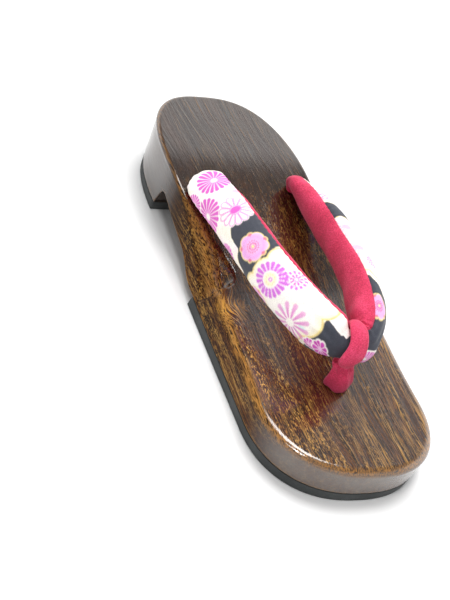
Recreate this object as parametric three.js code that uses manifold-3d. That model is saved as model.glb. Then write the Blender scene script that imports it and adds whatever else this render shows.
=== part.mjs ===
import * as THREE from "three";
import Module from "manifold-3d";
import { mergeVertices } from "three/addons/utils/BufferGeometryUtils.js";

// A low wooden sandal. Millimetres, toe towards -Y, heel towards +Y, floor at z = 0.
const wasm = await Module();
wasm.setup();

// Plan outline of the base
const LENGTH = 234;
const TOE_HALF = 44.7;
const HEEL_HALF = 39.2;
const TOE_CAP = 42;
const HEEL_CAP = 62.4;
const TOE_POWER = 2.36;
const HEEL_POWER = 2.72;
const OUTER_BULGE = 3.3;
const TOE_CAP_Y = -LENGTH / 2 + TOE_CAP;
const HEEL_CAP_Y = LENGTH / 2 - HEEL_CAP;

// Heights along the base
const FORE_TOP = 20;
const HEEL_TOP = 32.3;
const RISE_START_Y = -18.6;
const RISE_END_Y = 79.5;
const RUBBER = 5;
const FORE_SHOULDER = 3.8;
const HEEL_SHOULDER = 1.9;
const FORE_TAPER = 1.4;
const HEEL_TAPER = 3.2;

// Rubber pads
const FRONT_SOLE_END_Y = 2;
const HEEL_SOLE_START_Y = 66;

// Underside of the waist, seen from the side
const ARCH = [
  { y: 8, z: 5 }, { y: 12, z: 5.6 }, { y: 17, z: 7.2 }, { y: 22, z: 9.2 }, { y: 27, z: 10.8 },
  { y: 35, z: 12 }, { y: 45, z: 13.9 }, { y: 54, z: 15.9 }, { y: 58, z: 16.9 }, { y: 60.5, z: 16.8 },
  { y: 62.4, z: 15 }, { y: 63.8, z: 11.6 }, { y: 65.2, z: 8.2 }, { y: 66, z: 5 },
];

// The inner side (-X): how far the top edge stands in from the foot of the wall
const INNER_LEAN = [
  { y: -84, inset: 0 }, { y: -57, inset: 1.7 }, { y: -36, inset: 2.8 }, { y: -25, inset: 3.5 },
  { y: -11, inset: 5 }, { y: 6, inset: 5.8 }, { y: 20, inset: 5.3 }, { y: 30, inset: 4.1 },
  { y: 40, inset: 2.2 }, { y: 50, inset: 0.5 }, { y: 56, inset: 0 },
];

// Hollow carved into the inner side: where it starts on the top, its depth, and the run of its slope
const HOLLOW = [
  { y: -11, x: -38, depth: 4, run: 2.5 }, { y: -9.5, x: -35, depth: 4, run: 2.5 },
  { y: -7, x: -30.5, depth: 4.1, run: 3 }, { y: -4, x: -26, depth: 4.2, run: 4 },
  { y: -1, x: -23.6, depth: 4.2, run: 6 }, { y: 3, x: -22.4, depth: 4.1, run: 9 },
  { y: 9, x: -23.5, depth: 3.8, run: 12 }, { y: 16, x: -26, depth: 3.3, run: 12 },
  { y: 24, x: -30, depth: 2.5, run: 10 }, { y: 32, x: -33.5, depth: 1.7, run: 8 },
  { y: 40, x: -36.5, depth: 0.8, run: 6 }, { y: 49, x: -38.5, depth: 0, run: 6 },
];
const HOLLOW_FALL = 0.12;
// Along the hollow the edge of the inner side is rounded over much more
const SCOOP = { start: -11, full: -5, fade: 18, end: 50, radius: 4.6 };

// Holes for the strap
const REAR_HOLE = { x: 26.4, y: 51.4, radius: 4.3, floor: 22 };
const TOE_HOLE = { x: 1.9, y: -66, radius: 5.6, floor: 9 };

// One arm of the strap, from the rear hole to the point of the V (the +X side).
// wide and thick are half sizes; lean tips the long axis inwards from upright;
// coverLeft and coverRight give the same tip for the seam line of each arm.
const ARM = [
  { x: 26.4, y: 51.4, z: 22.6, wide: 3.6, thick: 3.2, lean: 56, coverLeft: 56, coverRight: 14 },
  { x: 26.4, y: 51.4, z: 29.4, wide: 3.6, thick: 3.2, lean: 56, coverLeft: 56, coverRight: 14 },
  { x: 26.6, y: 50.9, z: 33, wide: 5, thick: 3.2, lean: 56, coverLeft: 56, coverRight: 13 },
  { x: 26.9, y: 49.2, z: 35.3, wide: 7.4, thick: 3.8, lean: 56, coverLeft: 56, coverRight: 11 },
  { x: 27.1, y: 46.2, z: 36.4, wide: 9.1, thick: 4.7, lean: 55, coverLeft: 55, coverRight: 9 },
  { x: 27.1, y: 42.4, z: 36.9, wide: 9.7, thick: 5.4, lean: 52, coverLeft: 51, coverRight: 9 },
  { x: 27, y: 37.4, z: 37.5, wide: 9.9, thick: 6.3, lean: 46, coverLeft: 44, coverRight: 12 },
  { x: 26.7, y: 30, z: 38.5, wide: 10.1, thick: 7.3, lean: 38, coverLeft: 34, coverRight: 18 },
  { x: 26.3, y: 22, z: 39.6, wide: 10.4, thick: 8, lean: 30, coverLeft: 26, coverRight: 22 },
  { x: 25.9, y: 11.7, z: 40.9, wide: 10.6, thick: 8.4, lean: 25, coverLeft: 20, coverRight: 26 },
  { x: 25.2, y: 0.3, z: 42.1, wide: 10.7, thick: 8.5, lean: 23, coverLeft: 18, coverRight: 27 },
  { x: 24.1, y: -12.4, z: 43.2, wide: 10.9, thick: 8.5, lean: 22, coverLeft: 18, coverRight: 23 },
  { x: 21.9, y: -26.5, z: 44, wide: 11.1, thick: 8.6, lean: 22, coverLeft: 19, coverRight: 17 },
  { x: 17.4, y: -41.8, z: 44.3, wide: 11.1, thick: 8.6, lean: 24, coverLeft: 22, coverRight: 9 },
  { x: 13.2, y: -51, z: 43.6, wide: 10.9, thick: 8.3, lean: 26, coverLeft: 25, coverRight: 1 },
  { x: 9.8, y: -56.2, z: 42.4, wide: 9.9, thick: 7.2, lean: 28, coverLeft: 28, coverRight: 3 },
  { x: 6.6, y: -59, z: 41.5, wide: 7.7, thick: 5.6, lean: 30, coverLeft: 30, coverRight: 16 },
  { x: 3.3, y: -60.3, z: 41.1, wide: 6.6, thick: 5, lean: 30, coverLeft: 30, coverRight: 27 },
  { x: 0, y: -60.7, z: 41, wide: 6.6, thick: 5, lean: 30, coverLeft: 30, coverRight: 30 },
];
// Towards their rear ends both arms stand a little nearer the inner side
const DRIFT = { start: 12, run: 34, reach: -1.5 };
// The loop pulls the outer arm's side of the point a little forwards and down
const SKEW = { slope: 0.22, begin: 6, full: 8, end: 19 };
// The inside of the V's point stands a little towards the outer side
const CROTCH = { reach: 3, near: 2, fadeX: 9, frontY: -63, rearY: -50, runY: 10 };
const STEPS_PER_ROW = 2;
const ARC_POINTS = 10;
const SEAM_GAP = 0.4;

// Toe loop: a soft band round the point of the V, and a stem down into the hole
const LOOP = {
  gap: 0.5, thick: 2, halfTop: 4.5, halfFoot: 5.7, halfRear: 1.9, raise: 10, tiltTop: 0.17, tiltFoot: 0.34,
  around: 26, section: 10,
};
const STEM = [
  { x: 1.9, y: -66, z: 9.4, rx: 5.2, ry: 4.6 }, { x: 1.9, y: -66, z: 18.6, rx: 5.2, ry: 4.6 },
  { x: 2, y: -65.9, z: 20.6, rx: 5.6, ry: 4.7 }, { x: 2.2, y: -65.7, z: 22.2, rx: 6.2, ry: 5 },
  { x: 2.4, y: -65.3, z: 25, rx: 6, ry: 4.8 }, { x: 2.2, y: -64.4, z: 28.4, rx: 4.5, ry: 3.7 },
  { x: 1.4, y: -63.6, z: 30.8, rx: 4.6, ry: 3.5 }, { x: 0.5, y: -63, z: 32.4, rx: 4, ry: 2.8 },
];
const STEM_SIDES = 18;

// Colours
const WOOD = 0x4a2d18;
const BLACK_RUBBER = 0x3d4142;
const PRINT = 0xeadfe0;
const CRIMSON = 0xc23a58;

const DEG = Math.PI / 180;

function smooth(t) {
  const c = Math.min(1, Math.max(0, t));
  return c * c * (3 - 2 * c);
}

// Sideways shift of the arms at a distance y along
function driftAt(y) {
  return DRIFT.reach * smooth((y - DRIFT.start) / DRIFT.run);
}

// Drop of the strap's point, forwards and down alike, at a distance x from the midline
function skewAt(x) {
  const kept = 1 - smooth((x - SKEW.full) / (SKEW.end - SKEW.full));
  return -SKEW.slope * Math.max(0, x) * smooth(x / SKEW.begin) * kept;
}

// Sideways shift inside the V's point
function crotchAt(x, y) {
  const beside = 1 - smooth((Math.abs(x) - CROTCH.near) / CROTCH.fadeX);
  const behind = smooth((y - CROTCH.frontY) / CROTCH.runY);
  const ahead = 1 - smooth((y - CROTCH.rearY) / CROTCH.runY);
  return CROTCH.reach * beside * behind * ahead;
}

// A point of the strap or its loop where the cloth has settled
function settled(x, y, z) {
  return [x + driftAt(y) + crotchAt(x, y), y + skewAt(x), z + skewAt(x)];
}

function lookUp(rows, y, column) {
  if (y <= rows[0].y) return rows[0][column];
  for (let i = 1; i < rows.length; i++) {
    if (y <= rows[i].y) {
      const t = (y - rows[i - 1].y) / (rows[i].y - rows[i - 1].y);
      return rows[i - 1][column] + t * (rows[i][column] - rows[i - 1][column]);
    }
  }
  return rows[rows.length - 1][column];
}

// How far the top has risen from forefoot to heel, 0 to 1
function riseShare(y) {
  const t = Math.min(1, Math.max(0, (y - RISE_START_Y) / (RISE_END_Y - RISE_START_Y)));
  return t * t * t * (10 + t * (6 * t - 15));
}

function plainTop(y) {
  return FORE_TOP + (HEEL_TOP - FORE_TOP) * riseShare(y);
}

// Radius of the rounded top edge
function shoulderAt(y, side) {
  const plain = FORE_SHOULDER + (HEEL_SHOULDER - FORE_SHOULDER) * smooth((y + 60) / 100);
  if (side > 0) return plain;
  const begun = smooth((y - SCOOP.start) / (SCOOP.full - SCOOP.start));
  const left = 1 - smooth((y - SCOOP.fade) / (SCOOP.end - SCOOP.fade));
  return plain + SCOOP.radius * begun * left;
}

function hollowDepth(x, y) {
  if (x > 0 || y < HOLLOW[0].y || y > HOLLOW[HOLLOW.length - 1].y) return 0;
  const across = lookUp(HOLLOW, y, "x") - x;
  if (across <= 0) return 0;
  const depth = lookUp(HOLLOW, y, "depth");
  const slope = smooth(across / lookUp(HOLLOW, y, "run"));
  return depth * slope + HOLLOW_FALL * across * (depth / HOLLOW[0].depth);
}

function topHeight(x, y) {
  return plainTop(y) - hollowDepth(x, y);
}

// Outline stations run round the base; each can be set in by any amount.
function outlineStations() {
  const list = [];
  const capSteps = 12;
  for (let i = 0; i < capSteps; i++) {
    list.push({ kind: "toe", angle: (i / capSteps) * 90, side: 1 });
  }
  const ys = [];
  for (let y = TOE_CAP_Y; y < -16; y += 6) ys.push(y);
  for (let y = -15; y < 8; y += 1.6) ys.push(y);
  for (let y = 9; y < HEEL_CAP_Y - 2; y += 5) ys.push(y);
  ys.push(HEEL_CAP_Y);
  for (const y of ys) list.push({ kind: "side", y, side: 1 });
  for (let i = capSteps - 1; i >= 0; i--) {
    list.push({ kind: "heel", angle: (i / capSteps) * 90, side: 1 });
  }
  const right = list.slice();
  for (let i = right.length - 2; i > 0; i--) list.push({ ...right[i], side: -1 });
  return { list, rightCount: right.length };
}

function halfWidth(y, side) {
  const t = (y - TOE_CAP_Y) / (HEEL_CAP_Y - TOE_CAP_Y);
  const bulge = side > 0 ? OUTER_BULGE * Math.sin(Math.PI * t) ** 2 : 0;
  return TOE_HALF + (HEEL_HALF - TOE_HALF) * t + bulge;
}

function stationPoint(station, inset) {
  if (station.kind === "side") {
    return { x: station.side * (halfWidth(station.y, station.side) - inset), y: station.y };
  }
  const toe = station.kind === "toe";
  const power = toe ? TOE_POWER : HEEL_POWER;
  const half = (toe ? TOE_HALF : HEEL_HALF) - inset;
  const reach = (toe ? TOE_CAP : HEEL_CAP) - inset;
  const sx = Math.sin(station.angle * DEG) ** (2 / power);
  const sy = Math.cos(station.angle * DEG) ** (2 / power);
  return { x: station.side * half * sx, y: toe ? TOE_CAP_Y - reach * sy : HEEL_CAP_Y + reach * sy };
}

function wallInset(station, share) {
  const here = stationPoint(station, 0);
  const taper = FORE_TAPER + (HEEL_TAPER - FORE_TAPER) * riseShare(here.y);
  const lean = station.side < 0 ? lookUp(INNER_LEAN, here.y, "inset") : 0;
  return taper * (1 - share) + lean * share ** 1.3;
}

function solidFrom(points, faces) {
  const mesh = new wasm.Mesh({
    numProp: 3,
    vertProperties: new Float32Array(points.flat()),
    triVerts: new Uint32Array(faces.flat()),
  });
  return new wasm.Manifold(mesh);
}

function solidFromGeometry(geometry) {
  geometry.deleteAttribute("normal");
  geometry.deleteAttribute("uv");
  const merged = mergeVertices(geometry, 1e-4);
  const mesh = new wasm.Mesh({
    numProp: 3,
    vertProperties: new Float32Array(merged.attributes.position.array),
    triVerts: new Uint32Array(merged.index.array),
  });
  return new wasm.Manifold(mesh);
}

function meshFromSolid(solid, name, color, roughness) {
  const data = solid.getMesh();
  const geometry = new THREE.BufferGeometry();
  geometry.setAttribute("position", new THREE.BufferAttribute(new Float32Array(data.vertProperties), 3));
  geometry.setIndex(new THREE.BufferAttribute(new Uint32Array(data.triVerts), 1));
  const mesh = new THREE.Mesh(geometry, new THREE.MeshStandardMaterial({ color, roughness }));
  mesh.name = name;
  return mesh;
}

// Rings of equal count are skinned to each other; the last ring is folded shut left to right.
function skinRings(rings, rightCount) {
  const count = rings[0].length;
  const points = rings.flat();
  const faces = [];
  for (let r = 0; r + 1 < rings.length; r++) {
    for (let i = 0; i < count; i++) {
      const a = r * count + i;
      const b = r * count + ((i + 1) % count);
      faces.push([a, b, b + count], [a, b + count, a + count]);
    }
  }
  foldShut(faces, 0, count, rightCount, false);
  foldShut(faces, (rings.length - 1) * count, count, rightCount, true);
  return solidFrom(points, faces);
}

function foldShut(faces, base, count, rightCount, up) {
  const last = rightCount - 1;
  const left = (i) => base + ((count - i) % count);
  for (let i = 0; i < last; i++) {
    const quad = [base + i, base + i + 1, left(i + 1), left(i)];
    const tris = [];
    if (i + 1 === last) tris.push([quad[0], quad[1], quad[3]]);
    else if (i === 0) tris.push([quad[0], quad[1], quad[2]]);
    else tris.push([quad[0], quad[1], quad[2]], [quad[0], quad[2], quad[3]]);
    for (const t of tris) faces.push(up ? t : [t[0], t[2], t[1]]);
  }
}

function sidewaysPrism(rows, half) {
  const shape = new THREE.Shape(rows.map((p) => new THREE.Vector2(p.y, p.z)));
  const geometry = new THREE.ExtrudeGeometry(shape, { depth: 2 * half, bevelEnabled: false });
  // the profile's own axes become Y and Z, and the sweep becomes X
  const turn = new THREE.Matrix4().set(0, 0, 1, -half, 1, 0, 0, 0, 0, 1, 0, 0, 0, 0, 0, 1);
  geometry.applyMatrix4(turn);
  return solidFromGeometry(geometry);
}

function drill(hole, x) {
  const geometry = new THREE.CylinderGeometry(hole.radius, hole.radius, 60, 28);
  geometry.rotateX(Math.PI / 2);
  geometry.translate(x, hole.y, hole.floor + 30);
  return solidFromGeometry(geometry);
}

function boxBetween(y0, y1) {
  const geometry = new THREE.BoxGeometry(200, y1 - y0, 40);
  geometry.translate(0, (y0 + y1) / 2, 0);
  return solidFromGeometry(geometry);
}

function buildBase() {
  const { list, rightCount } = outlineStations();
  const rings = [];
  const shoulder = list.map((station) => shoulderAt(stationPoint(station, 0).y, station.side));
  const edgeTop = list.map((station, i) => {
    const p = stationPoint(station, wallInset(station, 1) + shoulder[i]);
    return topHeight(p.x, p.y);
  });
  for (const share of [0, 0.4, 0.75, 1]) {
    rings.push(list.map((station, i) => {
      const z = RUBBER + share * (edgeTop[i] - shoulder[i] - RUBBER);
      const p = stationPoint(station, wallInset(station, z / edgeTop[i]));
      return [p.x, p.y, z];
    }));
  }
  for (const angle of [35, 65, 90]) {
    rings.push(list.map((station, i) => {
      const inset = wallInset(station, 1) + shoulder[i] * (1 - Math.cos(angle * DEG));
      const p = stationPoint(station, inset);
      return [p.x, p.y, edgeTop[i] - shoulder[i] * (1 - Math.sin(angle * DEG))];
    }));
  }
  for (const share of [0.95, 0.89, 0.83, 0.77, 0.7, 0.63, 0.56, 0.48, 0.2]) {
    rings.push(list.map((station, i) => {
      const p = stationPoint(station, wallInset(station, 1) + shoulder[i]);
      const middleY = Math.min(HEEL_CAP_Y, Math.max(TOE_CAP_Y, p.y));
      const x = p.x * share;
      const y = middleY + (p.y - middleY) * share;
      return [x, y, topHeight(x, y)];
    }));
  }
  const body = skinRings(rings, rightCount);
  const archRows = [...ARCH, { y: 66, z: 0 }, { y: 8, z: 0 }];
  return body
    .subtract(sidewaysPrism(archRows, 70))
    .subtract(drill(REAR_HOLE, DRIFT.reach + REAR_HOLE.x))
    .subtract(drill(REAR_HOLE, DRIFT.reach - REAR_HOLE.x))
    .subtract(drill(TOE_HOLE, TOE_HOLE.x));
}

function buildSole(y0, y1) {
  const { list, rightCount } = outlineStations();
  const rings = [0, RUBBER].map((z) => list.map((station) => {
    const here = stationPoint(station, 0);
    const p = stationPoint(station, wallInset(station, z / plainTop(here.y)));
    return [p.x, p.y, z];
  }));
  return skinRings(rings, rightCount).intersect(boxBetween(y0, y1));
}

// Arm rows are eased with a smooth curve through them.
function armSamples() {
  const columns = Object.keys(ARM[0]);
  const samples = [];
  for (let i = 0; i + 1 < ARM.length; i++) {
    const before = ARM[Math.max(0, i - 1)];
    const after = i + 2 < ARM.length ? ARM[i + 2] : { ...ARM[i], x: -ARM[i].x };
    for (let k = 0; k < STEPS_PER_ROW; k++) {
      samples.push(easedRow(columns, before, ARM[i], ARM[i + 1], after, k / STEPS_PER_ROW));
    }
  }
  samples.push({ ...ARM[ARM.length - 1] });
  return samples;
}

function easedRow(columns, p0, p1, p2, p3, t) {
  const row = {};
  for (const c of columns) {
    const m1 = (p2[c] - p0[c]) / 2;
    const m2 = (p3[c] - p1[c]) / 2;
    const t2 = t * t;
    const t3 = t2 * t;
    row[c] = (2 * t3 - 3 * t2 + 1) * p1[c] + (t3 - 2 * t2 + t) * m1 + (3 * t2 - 2 * t3) * p2[c] + (t3 - t2) * m2;
  }
  return row;
}

// Frames along the right arm: forward, inward (level, towards the midline) and upward.
function armFrames(samples) {
  return samples.map((row, i) => {
    const a = samples[Math.max(0, i - 1)];
    const b = samples[Math.min(samples.length - 1, i + 1)];
    const forward = new THREE.Vector3(b.x - a.x, b.y - a.y, b.z - a.z).normalize();
    if (i === samples.length - 1) forward.set(-1, 0, 0);
    const level = Math.hypot(forward.x, forward.y);
    const steep = smooth((level - 0.25) / 0.5);
    const turned = new THREE.Vector3(forward.y, -forward.x, 0);
    const inward = new THREE.Vector3(-1, 0, 0).lerp(turned.normalize(), level > 1e-6 ? steep : 0);
    inward.addScaledVector(forward, -inward.dot(forward)).normalize();
    const upward = new THREE.Vector3().crossVectors(inward, forward).normalize();
    return { row, forward, inward, upward };
  });
}

function halfSection(frame, seamLean, cover) {
  const { row, inward, upward } = frame;
  const tip = (degrees) => upward.clone().multiplyScalar(Math.cos(degrees * DEG))
    .addScaledVector(inward, Math.sin(degrees * DEG));
  const face = (degrees) => inward.clone().multiplyScalar(-Math.cos(degrees * DEG))
    .addScaledVector(upward, Math.sin(degrees * DEG));
  const longAxis = tip(row.lean);
  const shortAxis = face(row.lean);
  const seamFace = face(seamLean);
  const offset = (seamLean - row.lean) * DEG;
  // the seam line meets the oval at this parameter and at the opposite one
  const start = Math.atan2(-Math.sin(offset) / row.thick, Math.cos(offset) / row.wide);
  const centre = new THREE.Vector3(row.x, row.y, row.z)
    .addScaledVector(seamFace, (cover ? 1 : -1) * SEAM_GAP / 2);
  const points = [];
  for (let k = 0; k <= ARC_POINTS; k++) {
    const angle = start + (cover ? 1 : -1) * Math.PI * (k / ARC_POINTS);
    const p = centre.clone()
      .addScaledVector(longAxis, row.wide * Math.cos(angle))
      .addScaledVector(shortAxis, row.thick * Math.sin(angle));
    points.push(p);
  }
  return points;
}

function buildStrap(cover) {
  const frames = armFrames(armSamples());
  const right = frames.map((frame) => halfSection(frame, frame.row.coverRight, cover)
    .map((p) => settled(p.x, p.y, p.z)));
  const left = frames.map((frame) => halfSection(frame, frame.row.coverLeft, cover)
    .map((p) => settled(-p.x, p.y, p.z)));
  left.pop();
  const sections = [...right, ...left.reverse()];
  return loft(sections, cover);
}

function loft(sections, flip) {
  const count = sections[0].length;
  const faces = [];
  const put = (a, b, c) => faces.push(flip ? [a, c, b] : [a, b, c]);
  for (let r = 0; r + 1 < sections.length; r++) {
    for (let i = 0; i < count; i++) {
      const a = r * count + i;
      const b = r * count + ((i + 1) % count);
      put(a, b, b + count);
      put(a, b + count, a + count);
    }
  }
  const end = (sections.length - 1) * count;
  for (let i = 1; i + 1 < count; i++) {
    put(0, i + 1, i);
    put(end, end + i, end + i + 1);
  }
  return solidFrom(sections.flat(), faces);
}

// The strap near its point, cut square to X: its centre and half sizes
function pointAt(x) {
  const reach = Math.abs(x);
  const rows = [...ARM].reverse();
  const next = rows.findIndex((row) => row.x > reach);
  const a = rows[next - 1];
  const b = rows[next];
  const t = (reach - a.x) / (b.x - a.x);
  const along = (column) => a[column] + t * (b[column] - a[column]);
  const slant = Math.hypot(1, (b.y - a.y) / (b.x - a.x));
  return { y: along("y"), z: along("z"), wide: along("wide"), thick: along("thick") * slant };
}

function buildLoop() {
  const point = ARM[ARM.length - 1];
  const lean = point.lean * DEG;
  const ring = [];
  for (let k = 0; k < LOOP.around; k++) {
    const angle = (k / LOOP.around) * 2 * Math.PI;
    const frontShare = smooth(0.35 + 0.75 * Math.sin(angle + LOOP.raise * DEG));
    const footShare = smooth(0.5 - 0.7 * Math.cos(angle));
    const halfFront = LOOP.halfTop + (LOOP.halfFoot - LOOP.halfTop) * footShare;
    const half = LOOP.halfRear + (halfFront - LOOP.halfRear) * frontShare;
    const tilt = (LOOP.tiltTop + (LOOP.tiltFoot - LOOP.tiltTop) * footShare) * smooth(1.2 * Math.sin(angle));
    const section = [];
    for (let j = 0; j < LOOP.section; j++) {
      const turn = (j / LOOP.section) * 2 * Math.PI;
      const out = LOOP.gap + LOOP.thick + LOOP.thick * Math.cos(turn);
      const x = half * Math.sin(turn) + tilt * (point.wide + out) * Math.cos(angle);
      const here = pointAt(x);
      const wide = (here.wide + out) * Math.cos(angle);
      const thick = (here.thick + out) * Math.sin(angle);
      const y = here.y + wide * Math.sin(lean) - thick * Math.cos(lean);
      const z = here.z + wide * Math.cos(lean) + thick * Math.sin(lean);
      section.push(settled(x, y, z));
    }
    ring.push(section);
  }
  const faces = [];
  for (let r = 0; r < LOOP.around; r++) {
    for (let i = 0; i < LOOP.section; i++) {
      const next = (i + 1) % LOOP.section;
      const a = r * LOOP.section + i;
      const b = r * LOOP.section + next;
      const far = ((r + 1) % LOOP.around) * LOOP.section;
      faces.push([a, far + next, b], [a, far + i, far + next]);
    }
  }
  const band = solidFrom(ring.flat(), faces);
  const stem = loft(STEM.map((row) => {
    const circle = [];
    for (let j = 0; j < STEM_SIDES; j++) {
      const turn = (j / STEM_SIDES) * 2 * Math.PI;
      circle.push([row.x + row.rx * Math.cos(turn), row.y + row.ry * Math.sin(turn), row.z]);
    }
    return circle;
  }), false);
  return { band, stem };
}

const sandal = new THREE.Group();
sandal.name = "geta_sandal";
const cover = buildStrap(true);
const backing = buildStrap(false);
const loop = buildLoop();
const base = buildBase();
const front = buildSole(-LENGTH, FRONT_SOLE_END_Y);
const heel = buildSole(HEEL_SOLE_START_Y, LENGTH);
sandal.add(meshFromSolid(base, "wood_base", WOOD, 0.3));
sandal.add(meshFromSolid(front, "front_sole", BLACK_RUBBER, 0.8));
sandal.add(meshFromSolid(heel, "heel_sole", BLACK_RUBBER, 0.8));
sandal.add(meshFromSolid(cover, "strap_cover", PRINT, 0.9));
sandal.add(meshFromSolid(backing, "strap_backing", CRIMSON, 0.95));
sandal.add(meshFromSolid(loop.band.add(loop.stem), "toe_loop", CRIMSON, 0.95));

export default sandal;
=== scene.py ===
"""A low wooden sandal with rubber pads and a stuffed V strap, standing on a pale floor."""

import math

import bpy
import numpy as np
from mathutils import Matrix, Vector


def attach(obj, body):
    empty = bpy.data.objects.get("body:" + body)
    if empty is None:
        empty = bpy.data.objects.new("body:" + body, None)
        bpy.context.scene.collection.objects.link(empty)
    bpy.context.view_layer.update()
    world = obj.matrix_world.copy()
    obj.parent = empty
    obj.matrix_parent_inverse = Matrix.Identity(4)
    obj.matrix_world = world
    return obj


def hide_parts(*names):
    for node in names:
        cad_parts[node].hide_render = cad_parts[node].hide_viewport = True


MM = 0.001
SEED = 7
# Fineness of the meshes: steps round an end, step along a side, points round half the strap
BASE_CAP_STEPS = 80
BASE_SIDE_STEP = 0.75
PAD_CAP_STEPS = 56
PAD_SIDE_STEP = 0.9
PAD_CUT_STEPS = 60
COVER_AROUND = 92
BACKING_AROUND = 56
# How full the padding is
STRAP_FILL = 0.85
LOOP_FILL = 0.7

# Plan outline of the base, millimetres, toe towards -Y
LENGTH = 234.0
TOE_HALF = 44.7
HEEL_HALF = 39.2
TOE_CAP = 42.0
HEEL_CAP = 62.4
TOE_POWER = 2.36
HEEL_POWER = 2.72
OUTER_BULGE = 3.3
TOE_CAP_Y = -LENGTH / 2 + TOE_CAP
HEEL_CAP_Y = LENGTH / 2 - HEEL_CAP

# Heights along the base
FORE_TOP = 20.0
HEEL_TOP = 32.3
RISE_START_Y = -18.6
RISE_END_Y = 79.5
FORE_SHOULDER = 3.8
HEEL_SHOULDER = 1.9
SHOULDER_START_Y = -60.0
SHOULDER_RUN = 100.0
LOWER_EDGE = 0.8
FORE_TAPER = 1.4
HEEL_TAPER = 3.2
# The steep step at the hollow's front end has closer stations
STEP_START_Y = -13.0
STEP_END_Y = -3.0
FRONT_SOLE_END_Y = 2.0
HEEL_SOLE_START_Y = 66.0

# Underside of the waist: distance along, height
ARCH_Y = [8, 12, 17, 22, 27, 35, 45, 54, 58, 60.5, 62.4, 63.8, 65.2, 66]
ARCH_Z = [5, 5.6, 7.2, 9.2, 10.8, 12, 13.9, 15.9, 16.9, 16.8, 15, 11.6, 8.2, 5]

# Inner side: how far the top edge stands in from the foot of the wall
INNER_Y = [-84, -57, -36, -25, -11, 6, 20, 30, 40, 50, 56]
INNER_INSET = [0, 1.7, 2.8, 3.5, 5, 5.8, 5.3, 4.1, 2.2, 0.5, 0]

# Hollow carved into the inner side: distance along, where it starts on the top, depth, run of its slope
HOLLOW_Y = [-11, -9.5, -7, -4, -1, 3, 9, 16, 24, 32, 40, 49]
HOLLOW_X = [-38, -35, -30.5, -26, -23.6, -22.4, -23.5, -26, -30, -33.5, -36.5, -38.5]
HOLLOW_DEPTH = [4, 4, 4.1, 4.2, 4.2, 4.1, 3.8, 3.3, 2.5, 1.7, 0.8, 0]
HOLLOW_RUN = [2.5, 2.5, 3, 4, 6, 9, 12, 12, 10, 8, 6, 6]
HOLLOW_FALL = 0.12
# Along the hollow the edge of the inner side is rounded over much more: start, rise, end, fall
SCOOP = (-11.0, 6.0, 18.0, 32.0)
SCOOP_RADIUS = 4.6

# One arm of the strap from the rear hole to the point of the V.
# Columns: x, y, z, half width, half thickness, lean of the oval, seam lean left, seam lean right
ARM = np.array([
    [26.4, 51.4, 31.25, 3.6, 3.2, 56, 56, 14],
    [26.6, 50.9, 33, 5, 3.2, 56, 56, 13],
    [26.9, 49.2, 35.3, 7.4, 3.8, 56, 56, 11],
    [27.1, 46.2, 36.4, 9.1, 4.7, 55, 55, 9],
    [27.1, 42.4, 36.9, 9.7, 5.4, 52, 51, 9],
    [27, 37.4, 37.5, 9.9, 6.3, 46, 44, 12],
    [26.7, 30, 38.5, 10.1, 7.3, 38, 34, 18],
    [26.3, 22, 39.6, 10.4, 8, 30, 26, 22],
    [25.9, 11.7, 40.9, 10.6, 8.4, 25, 20, 26],
    [25.2, 0.3, 42.1, 10.7, 8.5, 23, 18, 27],
    [24.1, -12.4, 43.2, 10.9, 8.5, 22, 18, 23],
    [21.9, -26.5, 44, 11.1, 8.6, 22, 19, 17],
    [17.4, -41.8, 44.3, 11.1, 8.6, 24, 22, 9],
    [13.2, -51, 43.6, 10.9, 8.3, 26, 25, 1],
    [9.8, -56.2, 42.4, 9.9, 7.2, 28, 28, 3],
    [6.6, -59, 41.5, 7.7, 5.6, 30, 30, 16],
    [3.3, -60.3, 41.1, 6.6, 5, 30, 30, 27],
    [0, -60.7, 41, 6.6, 5, 30, 30, 30],
])
# Length of each arm's end down in its hole, before the first row
HIDDEN_END = 4.75
ARM_STEPS = 24
SEAM_GAP = 0.08
# Towards their rear ends both arms stand a little nearer the inner side
DRIFT_START_Y = 12.0
DRIFT_RUN = 34.0
DRIFT_REACH = -1.5
# The loop pulls the outer arm's side of the point a little forwards and down
SKEW_SLOPE = 0.22
SKEW_BEGIN_X = 6.0
SKEW_FULL_X = 8.0
SKEW_END_X = 19.0
# The inside of the V's point stands a little towards the outer side
CROTCH_REACH = 3.0
CROTCH_NEAR = 2.0
CROTCH_FADE_X = 9.0
CROTCH_FRONT_Y = -63.0
CROTCH_REAR_Y = -50.0
CROTCH_RUN_Y = 10.0

# Toe loop: band round the point of the V and stem down to the wood
LOOP_GAP = 0.5
LOOP_THICK = 2.0
LOOP_HALF_TOP = 4.5
LOOP_HALF_FOOT = 5.7
LOOP_HALF_REAR = 1.9
LOOP_RAISE = 10.0
LOOP_TILT_TOP = 0.17
LOOP_TILT_FOOT = 0.34
LOOP_VOXEL = 0.38
# Pinched neck between band and stem, and the height of its folds
NECK_X = 1.9
NECK_Y = -64.0
NECK_Z = 29.6
NECK_FOLD = 0.2
# Stem columns: x, y, z, half width, half depth
STEM = np.array([
    [1.6, -65.9, 20.12, 5.1, 4.6],
    [1.7, -65.9, 20.6, 5.5, 4.9],
    [1.9, -65.7, 22.2, 5.8, 5.1],
    [2.2, -65.3, 25, 5.4, 4.6],
    [2.2, -64.4, 28.2, 5.2, 4.2],
    [1.4, -63.6, 30.8, 5.8, 4.3],
    [0.5, -63, 32.4, 5, 3.4],
])
# Below the neck the stem spreads into a squared tuft with gathered folds
TUFT_POWER = 1.6
TUFT_TURN = 35.0
TUFT_TOP_Z = 29.0
TUFT_FULL_Z = 22.0
TUFT_FOLD = 0.24

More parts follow.
